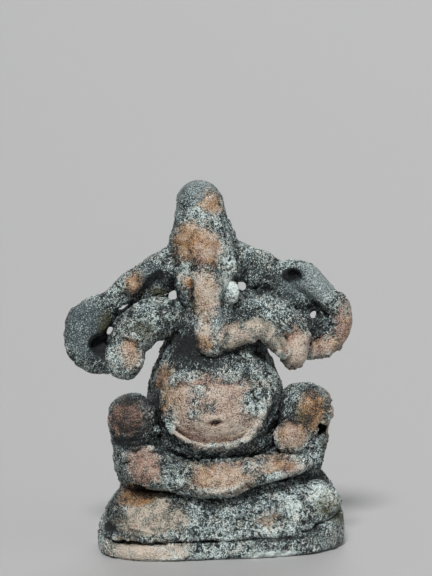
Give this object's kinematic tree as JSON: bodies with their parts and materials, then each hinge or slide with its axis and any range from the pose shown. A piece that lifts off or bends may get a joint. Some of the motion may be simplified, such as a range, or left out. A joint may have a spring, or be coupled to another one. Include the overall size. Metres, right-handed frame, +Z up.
{
  "type": "seated ganesha statuette",
  "caption": "Small corroded cast bronze statuette of a seated four-armed elephant-headed figure on a low stepped pedestal, in one piece.",
  "frame": {"origin": "middle of the pedestal's flat underside", "axes": "+Z up from the surface it stands on, +X to the viewer's right, +Y to the back; the figure faces -Y"},
  "size_m": [0.0351, 0.0165, 0.045],
  "materials": {
    "patinated_bronze": "corroded copper alloy: dark blue-green patina with pale verdigris, copper worn bright on the high places"
  },
  "bodies": {
    "root": {"ganesha_statuette": "patinated_bronze"}
  },
  "joints": []
}
